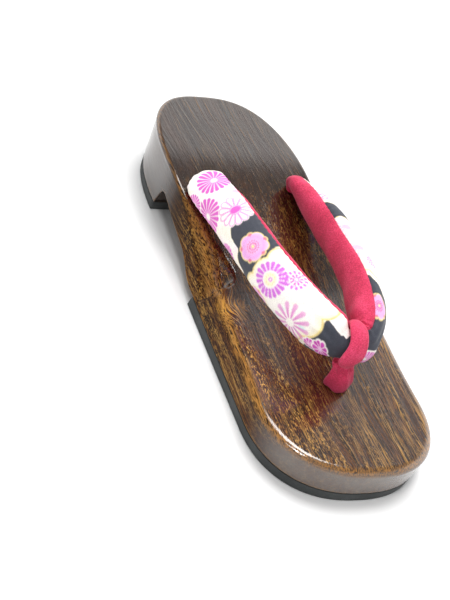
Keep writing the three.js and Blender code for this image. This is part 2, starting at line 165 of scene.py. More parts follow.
# Soft relief of the stuffed cloth: lumps, seam groove, puckers along the seams, gathers at both ends
LUMP_HEIGHT = 0.2
LUMP_SIZE = 17.0
SEAM_GROOVE = 0.4
SEAM_REACH = 0.75
PUCKER_HEIGHT = 0.14
PUCKER_PITCH = 3.6
PUCKER_REACH = 2.4
GATHER_HEIGHT = 0.34
GATHER_PITCH = 4.6
# Creases across the outer arm's backing just behind the loop: along, depth, breadth
LOOP_CREASES = [(119.6, 0.75, 1.0), (116.2, 0.4, 1.3), (112.8, 0.2, 1.6)]
CREASE_ACROSS = 5.0
CREASE_REACH = 5.5
CREASE_SLANT = 0.3

# Printed cloth. Along is measured from the rear end of an arm, across from its upper seam.
# Flowers: arm (-1 inner, 1 outer), along, across, radius, kind
FLOWERS = [
    (-1, 19.7, 8.7, 8.6, "wheel"), (-1, 34.2, 22.1, 9, "wheel"), (-1, 44.6, 8.4, 8.6, "outline"),
    (-1, 22, 24.5, 5, "wheel"), (-1, 32.5, 2.5, 5.5, "faint"), (-1, 67.9, 11.5, 7, "plum"),
    (-1, 86.1, 14.6, 8.2, "sun"), (-1, 94, 6, 5.2, "spark"), (-1, 104.8, 22.4, 9.2, "ray"),
    (-1, 116.2, 24, 2.7, "bud"), (-1, 120, 20.8, 3.4, "bud"), (-1, 56, 27.5, 6, "wheel"),
    (-1, 84, 30.5, 6.5, "plum"), (1, 17, 12, 7.5, "wheel"), (1, 27, 23, 8, "sun"),
    (1, 30, 5, 6.5, "outline"), (1, 57, 3.5, 7.4, "faint"), (1, 47, 19, 8, "ray"),
    (1, 72, 3, 8, "faint"), (1, 70, 20, 7.6, "outline"), (1, 81, 7, 4, "spark"),
    (1, 88, 22, 7.4, "sun"), (1, 107.5, 2, 5.2, "plum"), (1, 106, 20, 7.4, "wheel"),
    (1, 124.6, 14.4, 4.4, "wheel"), (1, 99.5, 13, 2.6, "bud"), (1, 96, 10, 2, "bud"),
]
# Pale cloud shapes: arm, along, across, radius
CLOUDS = [
    (-1, 84, 3.5, 9.4), (-1, 86.2, 15, 10.8), (-1, 82.5, 25.5, 8.6), (-1, 96, 8, 11),
    (-1, 97, 21, 10.5), (-1, 107.4, 16.6, 8.8), (-1, 104, 25, 8.4), (-1, 107, 5, 9),
    (1, 60, 4, 11), (1, 70, 12, 12), (1, 78, 3, 10.5), (1, 86, 8, 7),
    (1, 60, 20, 9), (1, 84, 21, 11), (1, 106.5, 20, 9.5),
]
# White scraps that lie over the dark ground near the point: arm, along, across, radius
SCRAPS = [
    (-1, 112.5, 1, 6.5), (-1, 116.5, 3, 6.3), (-1, 119.5, 4, 5.4), (-1, 123.5, 3, 4.2),
    (-1, 126.5, 1.5, 3.4), (1, 127, 15, 6), (1, 122, 19, 5),
]
# Dark ground: arm, its rear line and its front line, each a row of (across, along)
DARKS = [
    (-1,
     [(0, 49.5), (6, 51.2), (9.5, 50.3), (14.2, 50.8), (16.1, 53), (17.6, 56), (18.2, 62.6),
      (22.8, 65.8), (24.6, 70.7)],
     [(0, 73.3), (3.9, 74.7), (5.2, 77.6), (9.1, 77), (13.6, 75.8), (17.6, 77), (22, 74.5)]),
    (-1, [(0, 114), (11.7, 114.7), (16.6, 115.8), (24, 115)], [(0, 140), (33, 140)]),
    (1, [(0, 37.5), (33, 47)], [(0, 49.8), (2.7, 54.6), (33, 60)]),
    (1, [(0, 91.5), (5, 95.8), (7, 99.7), (33, 112)], [(0, 140), (33, 140)]),
]
PALE = "#fdf8f1"
IVORY = "#fdf3d8"
GOLD_LINE = "#f3dc96"
CHARCOAL = "#3b3e49"
MAGENTA = "#e05fc6"
ORCHID = "#d873dd"
PINK = "#f6bcea"
ROSE = "#e2488f"
VIOLET = "#d34dbb"
FAINT_PINK = "#f3c4ea"
LEMON = "#f6efa6"
AQUA = "#d3f0ee"

# Golden grain of the wood, as shares of the surface by region, and where the regions begin
GRAIN_FORE_Y = -8.0
GRAIN_HEEL_Y = 22.0
GRAIN_INNER_X = 16.0
GRAIN_RUN = 34.0
HEEL_FLECKS = 0.15
MIDDLE_FLECKS = 0.35
TOE_INNER_FLECKS = 0.95
TOE_OUTER_FLECKS = 0.35
WALL_FLECKS = 0.1
INNER_WALL_FLECKS = 0.6
HOLLOW_FLECKS = 0.6
HEEL_LINES = 0.3
MIDDLE_LINES = 0.5
TOE_OUTER_LINES = 0.75
WALL_LINES = 0.25
INNER_WALL_LINES = 0.6
HOLLOW_LINES = 1.0
# Stretches of the inner wall with more grain and with thin varnish: start, rise, end, fall
GRAIN_WALL = (-90.0, 20.0, 30.0, 20.0)
VARNISH_WALL = (-104.0, 30.0, 44.0, 24.0)
GRAIN_WALL_X = -28.0
VARNISH_WALL_X = -24.0
WALL_RUN_X = 6.0
# Share of the varnish left on the inner wall
INNER_WALL_VARNISH = 0.04
# Charring that deepens towards the heel
CHAR_START_Y = 18.0
CHAR_RUN = 46.0
# Painted reflection: a grey painted on the toe's and the heel's walls, standing in for the pale floor
# mirrored in their varnish
TOE_REFLECTION = 0.5
TOE_REFLECTION_Y = -80.0
TOE_REFLECTION_RUN = 25.0
HEEL_REFLECTION = 0.15
HEEL_REFLECTION_Y = 60.0
HEEL_REFLECTION_RUN = 30.0
# Painted shade: a darker patch in the middle of the toe, by the foot of the toe loop: place, reach and
# share of flecks lost
SHADE_PATCH_X = -4.0
SHADE_PATCH_Y = -80.0
SHADE_PATCH_REACH = 20.0
SHADE_PATCH_LOSS = 0.45
# Knot in the grain at the platform's inner rear corner: place and reach
KNOT_X = -34.0
KNOT_Y = -19.0
KNOT_REACH = 13.0

# Waffle tread under the rubber
TREAD_PITCH = 2.4

# Camera: place in metres and its right, down and forward directions
CAMERA_PLACE = (-0.46804, -0.51533, 0.52892)
CAMERA_RIGHT = (0.85488, -0.34849, 0.38437)
CAMERA_DOWN = (0.01825, -0.72019, -0.69354)
CAMERA_FORWARD = (0.51851, 0.59990, -0.60932)
CAMERA_LENS = 110.85

# White studio walls, brightest low down behind the sandal and dimmer overhead
LOW_SKY = 0.53
HIGH_SKY = 0.62
SIDE_GLOW = 0.9
BACK_GLOW = 1.6
HIGH_GLOW = 0.2
BACK_X = 0.65
BACK_Y = 0.76

# Lamps: place in metres, size in metres, power in watts
KEY_PLACE = (0.15, 0.32, 1.28)
KEY_SIZE = 0.8
KEY_POWER = 16
GLINT_PLACE = (-0.42, -0.33, 1.04)
GLINT_SIZE = 0.26
GLINT_POWER = 3.5
FLOOR_HALF = 6.0


def smooth(t):
    c = np.clip(t, 0.0, 1.0)
    return c * c * (3.0 - 2.0 * c)


def between(first, second, share):
    return first + (second - first) * share


def stretch(y, start, rise, end, fall):
    """A share that rises from a start and falls from an end."""
    return smooth((y - start) / rise) * (1 - smooth((y - end) / fall))


def rise_share(y):
    """How far the top has risen from forefoot to heel, 0 to 1."""
    t = np.clip((y - RISE_START_Y) / (RISE_END_Y - RISE_START_Y), 0.0, 1.0)
    return t**3 * (10 + t * (6 * t - 15))


def plain_top(y):
    return between(FORE_TOP, HEEL_TOP, rise_share(y))


def shoulder_at(y, side):
    """Radius of the rounded top edge."""
    share = smooth((y - SHOULDER_START_Y) / SHOULDER_RUN)
    plain = between(FORE_SHOULDER, HEEL_SHOULDER, share)
    scoop = stretch(y, *SCOOP)
    return plain + np.where(side < 0, SCOOP_RADIUS * scoop, 0.0)


def drift_at(y):
    return DRIFT_REACH * smooth((y - DRIFT_START_Y) / DRIFT_RUN)


def skew_at(x):
    kept = 1 - smooth((x - SKEW_FULL_X) / (SKEW_END_X - SKEW_FULL_X))
    return -SKEW_SLOPE * np.maximum(x, 0.0) * smooth(x / SKEW_BEGIN_X) * kept


def crotch_at(x, y):
    beside = 1 - smooth((np.abs(x) - CROTCH_NEAR) / CROTCH_FADE_X)
    return CROTCH_REACH * beside * stretch(y, CROTCH_FRONT_Y, CROTCH_RUN_Y, CROTCH_REAR_Y, CROTCH_RUN_Y)


def hollow_depth(x, y):
    across = np.interp(y, HOLLOW_Y, HOLLOW_X) - x
    depth = np.interp(y, HOLLOW_Y, HOLLOW_DEPTH)
    inside = (across > 0) & (y > HOLLOW_Y[0]) & (y < HOLLOW_Y[-1]) & (x < 0)
    slope = smooth(across / np.interp(y, HOLLOW_Y, HOLLOW_RUN))
    cut = depth * (slope + HOLLOW_FALL * across / HOLLOW_DEPTH[0])
    return np.where(inside, cut, 0.0)


def top_height(x, y):
    return plain_top(y) - hollow_depth(x, y)


def under_height(y):
    return np.interp(y, ARCH_Y, ARCH_Z)


def outline_stations(cap_steps, side_step):
    """Kind (0 toe, 1 side, 2 heel), angle or y, for the +X side from toe tip to heel tip."""
    caps = 90 * (1 - (1 - np.linspace(0, 1, cap_steps, endpoint=False)) ** 1.7)
    sides = np.concatenate([
        np.arange(TOE_CAP_Y, STEP_START_Y, side_step),
        np.arange(STEP_START_Y, STEP_END_Y, side_step / 3),
        np.arange(STEP_END_Y, HEEL_CAP_Y, side_step),
    ])
    count = len(sides)
    kind = np.concatenate([np.zeros(cap_steps), np.ones(count), np.full(cap_steps, 2)])
    value = np.concatenate([caps, sides, caps[::-1]])
    right = len(kind)
    kind = np.concatenate([kind, kind[-2:0:-1]])
    value = np.concatenate([value, value[-2:0:-1]])
    side = np.concatenate([np.ones(right), -np.ones(right - 2)])
    return kind, value, side, right


def half_width(y, side):
    t = (y - TOE_CAP_Y) / (HEEL_CAP_Y - TOE_CAP_Y)
    bulge = np.where(side > 0, OUTER_BULGE * np.sin(math.pi * np.clip(t, 0, 1)) ** 2, 0.0)
    return TOE_HALF + (HEEL_HALF - TOE_HALF) * t + bulge


def station_points(stations, inset):
    kind, value, side, _ = stations
    angle = np.radians(np.where(kind == 1, 45.0, value))
    power = np.where(kind == 0, TOE_POWER, HEEL_POWER)
    half = np.where(kind == 0, TOE_HALF, HEEL_HALF) - inset
    reach = np.where(kind == 0, TOE_CAP, HEEL_CAP) - inset
    across = np.abs(np.sin(angle)) ** (2 / power)
    along = np.abs(np.cos(angle)) ** (2 / power)
    cap_y = np.where(kind == 0, TOE_CAP_Y - reach * along, HEEL_CAP_Y + reach * along)
    y = np.where(kind == 1, value, cap_y)
    x = side * np.where(kind == 1, half_width(y, side) - inset, half * across)
    return x, y


def wall_inset(stations, share):
    side = stations[2]
    _, y = station_points(stations, 0.0)
    taper = between(FORE_TAPER, HEEL_TAPER, rise_share(y))
    lean = np.where(side < 0, np.interp(y, INNER_Y, INNER_INSET), 0.0)
    return taper * (1 - share) + lean * share ** 1.3


def make_object(name, points, faces):
    """A mesh object from millimetre points."""
    mesh = bpy.data.meshes.new(name)
    mesh.from_pydata((np.asarray(points) * MM).tolist(), [], [list(map(int, f)) for f in faces])
    mesh.validate()
    mesh.polygons.foreach_set("use_smooth", [True] * len(mesh.polygons))
    obj = bpy.data.objects.new(name, mesh)
    bpy.context.scene.collection.objects.link(obj)
    return obj


def ring_quads(rings, count):
    """Quads between rings of equal count, each closed round."""
    quads = []
    i = np.arange(count)
    j = (i + 1) % count
    for r in range(rings - 1):
        a = r * count
        b = a + count
        quads.extend(np.stack([a + i, a + j, b + j, b + i], 1).tolist())
    return quads


def end_faces(rings, count):
    """One face over the first ring and one over the last."""
    last = (rings - 1) * count
    return [list(range(count))[::-1], list(range(last, last + count))]


def fold_faces(base, count, right, up):
    faces = []
    for i in range(right - 1):
        ring = [base + i, base + i + 1, base + (count - i - 1) % count, base + (count - i) % count]
        unique = list(dict.fromkeys(ring))
        faces.append(unique if up else unique[::-1])
    return faces


def build_base():
    stations = outline_stations(BASE_CAP_STEPS, BASE_SIDE_STEP)
    right = stations[3]
    inset_top = wall_inset(stations, 1.0)
    _, y_edge = station_points(stations, 0.0)
    shoulder = shoulder_at(y_edge, stations[2])
    x_top, y_top = station_points(stations, inset_top + shoulder)
    edge_top = plain_top(y_top) - hollow_depth(x_top, y_top)
    low = under_height(y_edge)
    rings = []
    wear = []
    wall = []

    def add(x, y, z, worn, upright):
        rings.append(np.stack([x, y, z], 1))
        wear.append(np.full(len(x), worn))
        wall.append(np.full(len(x), upright))

    low_inset = wall_inset(stations, low / edge_top)
    for share in (0.97, 1.0):
        x, y = station_points(stations, low_inset + LOWER_EDGE)
        middle = np.clip(y, TOE_CAP_Y, HEEL_CAP_Y)
        inner_x = x * share
        inner_y = middle + (y - middle) * share
        add(inner_x, inner_y, under_height(inner_y), 0.0, 1.0)
    for angle in (30, 60, 90):
        turn = math.radians(angle)
        x, y = station_points(stations, low_inset + LOWER_EDGE * (1 - math.sin(turn)))
        add(x, y, low + LOWER_EDGE * (1 - math.cos(turn)), 0.55, 1.0)
    wall_low = low + LOWER_EDGE
    wall_high = edge_top - shoulder
    for share in np.linspace(0, 1, 16)[1:]:
        z = wall_low + share * (wall_high - wall_low)
        x, y = station_points(stations, wall_inset(stations, z / edge_top))
        add(x, y, z, 0.0, 1.0)
    for angle in (12, 24, 36, 48, 60, 72, 82, 90):
        turn = math.radians(angle)
        x, y = station_points(stations, inset_top + shoulder * (1 - math.cos(turn)))
        worn = math.sin(math.pi * min(1.0, angle / 96)) ** 1.5
        add(x, y, edge_top - shoulder * (1 - math.sin(turn)), worn, math.cos(turn))
    for share in np.concatenate([np.linspace(1, 0.45, 46)[1:], np.linspace(0.45, 0.01, 22)[1:]]):
        middle = np.clip(y_top, TOE_CAP_Y, HEEL_CAP_Y)
        x = x_top * share
        y = middle + (y_top - middle) * share
        add(x, y, top_height(x, y), 0.0, 0.0)
    points = np.concatenate(rings)
    count = len(edge_top)
    faces = ring_quads(len(rings), count)
    faces += fold_faces(0, count, right, False)
    faces += fold_faces((len(rings) - 1) * count, count, right, True)
    obj = make_object("wood_base_visual", points, faces)
    upright = np.concatenate(wall)
    flecks, lines, char = grain_shares(points, upright)
    layers = {"wear": np.concatenate(wear), "flecks": flecks, "lines": lines, "char": char}
    layers["varnish"] = varnish_share(points, upright)
    layers["reflection_grey"] = reflection_grey_share(points, upright)
    for name, values in layers.items():
        layer = obj.data.attributes.new(name, "FLOAT", "POINT")
        layer.data.foreach_set("value", values.astype(np.float32))
    return obj


def grain_shares(points, wall):
    """Shares of short golden flecks, of long golden lines and of deep charring over the base."""
    x, y, _ = points.T
    fore = smooth((GRAIN_FORE_Y - y) / GRAIN_RUN)
    heel = smooth((y - GRAIN_HEEL_Y) / GRAIN_RUN)
    inner = smooth((GRAIN_INNER_X - x) / GRAIN_RUN)
    toe_flecks = between(TOE_OUTER_FLECKS, TOE_INNER_FLECKS, inner)
    toe_lines = between(TOE_OUTER_LINES, MIDDLE_LINES, inner)
    flecks = between(MIDDLE_FLECKS, toe_flecks, fore) + (HEEL_FLECKS - MIDDLE_FLECKS) * heel
    lines = between(MIDDLE_LINES, toe_lines, fore) + (HEEL_LINES - MIDDLE_LINES) * heel
    # Painted shade: golden flecks and lines thin out in a patch by the foot of the toe loop
    patch = np.exp(-((x - SHADE_PATCH_X) ** 2 + (y - SHADE_PATCH_Y) ** 2) / SHADE_PATCH_REACH**2)
    flecks = flecks * (1 - SHADE_PATCH_LOSS * patch)
    lines = lines * (1 - SHADE_PATCH_LOSS * patch)
    hollow = smooth(hollow_depth(x, y) / 2.5)
    flecks = between(flecks, HOLLOW_FLECKS, hollow)
    lines = between(lines, HOLLOW_LINES, hollow)
    inner_wall = smooth((GRAIN_WALL_X - x) / WALL_RUN_X) * stretch(y, *GRAIN_WALL)
    flecks = between(flecks, between(WALL_FLECKS, INNER_WALL_FLECKS, inner_wall), wall)
    lines = between(lines, between(WALL_LINES, INNER_WALL_LINES, inner_wall), wall)
    return flecks, lines, smooth((y - CHAR_START_Y) / CHAR_RUN)


def varnish_share(points, wall):
    """Share of varnish over the base: full on top and round both ends, thin along the inner wall."""
    x, y, _ = points.T
    inner = smooth((VARNISH_WALL_X - x) / WALL_RUN_X) * stretch(y, *VARNISH_WALL)
    return 1 - (1 - INNER_WALL_VARNISH) * inner * np.sqrt(wall)


def reflection_grey_share(points, wall):
    """Share of painted reflection: grey painted on the walls of both ends."""
    y = points[:, 1]
    toe = TOE_REFLECTION * smooth((TOE_REFLECTION_Y - y) / TOE_REFLECTION_RUN)
    heel = HEEL_REFLECTION * smooth((y - HEEL_REFLECTION_Y) / HEEL_REFLECTION_RUN)
    return wall * (toe + heel)


def pad_loop(stations, inset, cut_y, toe, end_inset):
    """Outline of one pad: its round end and its straight end, as one closed loop."""
    right = stations[3]
    x, y = station_points(stations, inset)
    count = len(x)
    edge_y = cut_y - end_inset if toe else cut_y + end_inset
    outer_x = np.interp(edge_y, y[:right], x[:right])
    back = np.r_[0, np.arange(count - 1, right - 2, -1)]
    inner_x = np.interp(edge_y, y[back], x[back])
    _, y_plain = station_points(stations, 0.0)
    if toe:
        first = int(np.argmax(y_plain[:right] > cut_y - 1.5))
        before = np.arange(0, first)
        after = np.arange(count - first + 1, count)
        cut_x = np.linspace(outer_x, inner_x, PAD_CUT_STEPS)
    else:
        first = int(np.argmax(y_plain[:right] > cut_y + 1.5))
        before = np.arange(first, count - first + 1)
        after = np.arange(0)
        cut_x = np.linspace(inner_x, outer_x, PAD_CUT_STEPS)
    x_all = np.concatenate([x[before], cut_x, x[after]])
    y_all = np.concatenate([y[before], np.full(PAD_CUT_STEPS, edge_y), y[after]])
    return x_all, y_all


def build_pad(name, cut_y, toe):
    """A rubber pad cut straight at its waist end, with softened edges."""
    stations = outline_stations(PAD_CAP_STEPS, PAD_SIDE_STEP)
    _, y_plain = station_points(stations, 0.0)
    levels = [(0.0, 0.6), (0.09, 0.3), (0.3, 0.09), (0.6, 0.0), (1.5, 0.0), (2.5, 0.0), (3.5, 0.0)]
    levels += [(4.4, 0.0), (4.75, 0.06), (4.9, 0.25)]
    rings = []
    for z, extra in levels:
        inset = wall_inset(stations, z / plain_top(y_plain)) + extra
        x, y = pad_loop(stations, inset, cut_y, toe, extra)
        rings.append(np.stack([x, y, np.full(len(x), z)], 1))
    centre_y = (rings[0][:, 1].min() + rings[0][:, 1].max()) / 2
    centre = np.array([0.0, centre_y, 0.0])
    under = [centre + (rings[0] - centre) * share for share in np.linspace(0.02, 0.98, 12)]
    lift = np.array([0.0, 0.0, rings[-1][0, 2]])
    over = [centre + lift + (rings[-1] - centre - lift) * share for share in (0.7, 0.3, 0.02)]
    rings = under + rings + over
    count = len(rings[0])
    faces = ring_quads(len(rings), count) + end_faces(len(rings), count)
    return make_object(name, np.concatenate(rings), faces)


def arm_rows():
    """Rows along the right arm, eased smoothly through the table."""
    rows = []
    last = len(ARM) - 1
    for i in range(last):
        before = ARM[max(0, i - 1)]
        after = ARM[i + 2] if i + 2 <= last else ARM[i] * np.array([-1, 1, 1, 1, 1, 1, 1, 1])
        m1 = (ARM[i + 1] - before) / 2
        m2 = (after - ARM[i]) / 2
        for t in np.linspace(0, 1, ARM_STEPS, endpoint=False):
            a = 2 * t**3 - 3 * t**2 + 1
            b = t**3 - 2 * t**2 + t
            c = 3 * t**2 - 2 * t**3
            d = t**3 - t**2
            rows.append(a * ARM[i] + b * m1 + c * ARM[i + 1] + d * m2)
    rows.append(ARM[last])
    return np.array(rows)


def unit(v):
    return v / np.linalg.norm(v, axis=-1, keepdims=True)


def arm_frames(rows):
    """Forward, inward and upward directions along the right arm."""
    place = rows[:, :3]
    forward = np.gradient(place, axis=0)
    forward[-1] = (-1, 0, 0)
    forward = unit(forward)
    level = np.hypot(forward[:, 0], forward[:, 1])
    steep = smooth((level - 0.25) / 0.5)[:, None]
    turned = np.stack([forward[:, 1], -forward[:, 0], np.zeros(len(rows))], 1)
    turned = turned / np.maximum(level, 1e-6)[:, None]
    inward = np.array([[-1.0, 0.0, 0.0]]) * (1 - steep) + turned * steep
    inward = unit(inward - (inward * forward).sum(1, keepdims=True) * forward)
    upward = unit(np.cross(inward, forward))
    return inward, upward


def strap_sections(cover, around, left):
    """Outer points of half the strap along the right arm; mirrored for the left arm."""
    rows = arm_rows()
    inward, upward = arm_frames(rows)
    lean = np.radians(rows[:, 5])[:, None]
    seam = np.radians(rows[:, 6 if left else 7])[:, None]
    long_axis = np.cos(lean) * upward + np.sin(lean) * inward
    short_axis = -np.cos(lean) * inward + np.sin(lean) * upward
    seam_face = -np.cos(seam) * inward + np.sin(seam) * upward
    sign = 1.0 if cover else -1.0
    start = np.arctan2(-np.sin(seam - lean) / rows[:, 4:5], np.cos(seam - lean) / rows[:, 3:4])
    centre = rows[:, :3] + sign * SEAM_GAP / 2 * seam_face
    angle = start + sign * np.linspace(0, math.pi, around)[None, :]
    points = (
        centre[:, None, :]
        + (rows[:, 3:4] * np.cos(angle))[:, :, None] * long_axis[:, None, :]
        + (rows[:, 4:5] * np.sin(angle))[:, :, None] * short_axis[:, None, :]
    )
    if left:
        points = points * np.array([-1.0, 1.0, 1.0])
    return settle(points)


def settle(points):
    """Shift points of the strap with the drift of its arms and the skew of its point."""
    moved = points.copy()
    drop = skew_at(points[..., 0])
    moved[..., 0] += drift_at(points[..., 1]) + crotch_at(points[..., 0], points[..., 1])
    moved[..., 1] += drop
    moved[..., 2] += drop
    return moved


def lumps(along, across, size, seed):
    """Smooth seeded lumps of about one size, roughly between -1 and 1."""
    rng = np.random.default_rng(SEED + seed)
    total = np.zeros(np.broadcast(along, across).shape)
    for _ in range(7):
        heading = rng.uniform(0, 2 * math.pi)
        wave = size * rng.uniform(0.75, 1.6)
        phase = rng.uniform(0, 2 * math.pi)
        run = along * math.cos(heading) + across * math.sin(heading)
        total += np.sin(2 * math.pi * run / wave + phase)
    return total / 4.0


def strap_measures(sections):
    """Distance along from the rear end, across from the upper seam, and the width there, millimetres."""
    centre = arm_rows()[:, :3]
    steps = np.linalg.norm(np.diff(centre, axis=0), axis=1)
    along = HIDDEN_END + np.concatenate([[0.0], np.cumsum(steps)])[:, None]
    gaps = np.linalg.norm(np.diff(sections, axis=1), axis=2)
    across = np.concatenate([np.zeros((len(sections), 1)), np.cumsum(gaps, axis=1)], axis=1)
    return along + 0 * across, across, across[:, -1:]


def strap_relief(along, across, width, cover, left):
    """How far the stuffed cloth stands out, millimetres."""
    seed = 10 * (1 + cover) + left
    to_point = along.max() - along
    edge = np.minimum(across, width - across)
    free = smooth((to_point - 7.0) / 4.5)
    relief = LUMP_HEIGHT * lumps(along, across, LUMP_SIZE, seed)
    waver = along + 0.9 * lumps(along, across, 9.0, seed + 1)
    puckers = np.sin(2 * math.pi * waver / PUCKER_PITCH)
    relief = relief + PUCKER_HEIGHT * np.exp(-edge / PUCKER_REACH) * puckers
    fan = np.sin(2 * math.pi * across / GATHER_PITCH + 1.6 * lumps(along, across, 14.0, seed + 2))
    near_loop = 1 - smooth((to_point - 8.0) / 15.0)
    near_hole = 1 - smooth((along - 5.0) / 13.0)
    relief = relief + GATHER_HEIGHT * fan * np.maximum(near_loop, 0.8 * near_hole)
    relief = relief - SEAM_GROOVE * np.exp(-(edge / SEAM_REACH) ** 2)
    if not cover and not left:
        for place, depth, breadth in LOOP_CREASES:
            beside = across - CREASE_ACROSS
            line = along - place - CREASE_SLANT * beside
            fade = np.exp(-(beside / CREASE_REACH) ** 2)
            relief = relief - depth * fade * np.exp(-(line / breadth) ** 2)
    return relief * free


def arm_sheet(cover, around, left):
    """Points of one arm's half of the strap with its relief, and the print's colours for the cover."""
    sections = strap_sections(cover, around, left)
    along, across, width = strap_measures(sections)
    heart = (sections[:, :1] + sections[:, -1:]) / 2
    outward = unit(sections - heart)
    relief = strap_relief(along, across, width, cover, left)
    colours = print_colours(along, across, -1 if left else 1) if cover else None
    return sections + relief[:, :, None] * outward, colours


def build_strap(name, cover, around):
    right, right_colours = arm_sheet(cover, around, False)
    left, left_colours = arm_sheet(cover, around, True)
    sections = np.concatenate([right, left[-2::-1]])
    rings = len(sections)
    faces = ring_quads(rings, around) + end_faces(rings, around)
    if cover:
        faces = [face[::-1] for face in faces]
    obj = make_object(name, sections.reshape(-1, 3), faces)
    if cover:
        colours = np.concatenate([right_colours, left_colours[-2::-1]]).reshape(-1, 3)
        layer = obj.data.color_attributes.new("print", "FLOAT_COLOR", "POINT")
        layer.data.foreach_set("color", np.c_[colours, np.ones(len(colours))].ravel().astype(np.float32))
    return obj


def linear(code):
    """Linear red, green and blue of a colour written as a hex code."""
    parts = np.array([int(code[k:k + 2], 16) for k in (1, 3, 5)]) / 255
    return np.where(parts <= 0.04045, parts / 12.92, ((parts + 0.055) / 1.055) ** 2.4)


def lay(colours, code, cover_share):
    """Lay a colour over others where its share is above nought."""
    share = np.clip(cover_share, 0.0, 1.0)[..., None]
    return colours * (1 - share) + linear(code) * share


def inside(distance, softness=0.22):
    """Share of ink inside a line, from the distance to it (below nought inside)."""
    return np.clip(0.5 - distance / (2 * softness), 0.0, 1.0)


def petals(out, turn, count, start, end, slim=0.78, first=0.0):
    """Distance to the edge of a ring of rounded petals, below nought inside them."""
    beside = np.abs((turn * count / (2 * math.pi) + first) % 1.0 * 2 - 1)
    pitch = np.maximum(out, 0.2) * math.pi / count
    tip = end - slim * pitch
    half = slim * pitch
    straight = beside * pitch - half
    rounded = np.hypot(beside * pitch, np.maximum(out - tip, 0.0)) - half
    return np.maximum(np.where(out > tip, rounded, straight), start - out)


def discs(run, rise, reach, radius, turns):
    """Distance to the edge of a ring of discs, below nought inside them."""
    places = [(reach * math.cos(a), reach * math.sin(a)) for a in np.radians(turns)]
    return np.min([np.hypot(run - x, rise - y) for x, y in places], axis=0) - radius


def flower_ink(colours, along, across, row):
    _, centre_along, centre_across, radius, kind = row
    run = along - centre_along
    rise = across - centre_across
    out = np.hypot(run, rise)
    turn = np.arctan2(rise, run)
    if kind == "wheel":
        colours = lay(colours, PALE, inside(out - radius - 0.7))
        colours = lay(colours, MAGENTA, inside(petals(out, turn, 18, 0.2 * radius, radius)))
    elif kind in ("outline", "faint"):
        edge = petals(out, turn, 13, 0.3 * radius, radius, 0.9)
        colours = lay(colours, PALE, inside(edge - 0.5))
        line = MAGENTA if kind == "outline" else PINK
        colours = lay(colours, line, 0.85 * inside(np.abs(edge + 0.1) - 0.24))
        centre = inside(np.hypot(run, 0.8 * rise) - 0.24 * radius)
        colours = lay(colours, line, centre)
    elif kind == "plum":
        lobes = discs(run, rise, 0.56 * radius, 0.46 * radius, [18, 90, 162, 234, 306])
        tips = discs(run, rise, 0.86 * radius, 0.17 * radius, [54, 126, 198, 270, 342])
        colours = lay(colours, GOLD_LINE, inside(np.minimum(lobes, tips) - 0.55))
        colours = lay(colours, ROSE, 0.8 * inside(tips))
        colours = lay(colours, PINK, inside(lobes))
        ring = inside(np.abs(out - 0.72 * radius) - 0.12 * radius, 0.8) * inside(lobes)
        colours = lay(colours, ORCHID, 0.35 * ring)
        spokes = np.abs((turn * 15 / (2 * math.pi)) % 1.0 * 2 - 1)
        rows = np.abs((out / (0.16 * radius)) % 1.0 * 2 - 1)
        dots = inside(np.hypot(spokes * np.maximum(out, 0.2) * 0.21, rows * 0.08 * radius) - 0.34)
        colours = lay(colours, ROSE, 0.9 * dots * inside(out - 0.52 * radius))
        colours = lay(colours, LEMON, inside(out - 0.1 * radius))
    elif kind == "sun":
        colours = lay(colours, ORCHID, inside(petals(out, turn, 18, 0.48 * radius, radius)))
        colours = lay(colours, IVORY, inside(out - 0.4 * radius))
        dots = np.abs((turn * 12 / (2 * math.pi)) % 1.0 * 2 - 1)
        colours = lay(colours, GOLD_LINE, inside(np.hypot(dots * 0.6, out - 0.27 * radius) - 0.3))
        colours = lay(colours, ORCHID, inside(np.abs(out - 0.09 * radius) - 0.25))
    elif kind == "spark":
        colours = lay(colours, MAGENTA, inside(petals(out, turn, 9, 0.12 * radius, 0.6 * radius, 0.62)))
        colours = lay(colours, ORCHID, inside(petals(out, turn, 13, 0.66 * radius, radius, 0.6)))
    elif kind == "ray":
        fade = 1 - 0.45 * np.clip(out / radius, 0, 1)
        colours = lay(colours, MAGENTA, fade * inside(petals(out, turn, 12, 0.2 * radius, radius, 0.5)))
        colours = lay(colours, PALE, inside(out - 0.22 * radius))
    elif kind == "bud":
        edge = petals(out, turn, 9, 0.0, radius, 1.02)
        colours = lay(colours, PALE, inside(edge - 0.45))
        colours = lay(colours, VIOLET, inside(edge + 0.1))
        colours = lay(colours, FAINT_PINK, inside(out - 0.2 * radius))
    return colours


def ring_distance(rows, arm, along, across):
    """Distance to the edge of a row of joined circles on one arm."""
    own = [row for row in rows if row[0] == arm]
    return np.min([np.hypot(along - a, across - b) - r for _, a, b, r in own], axis=0)


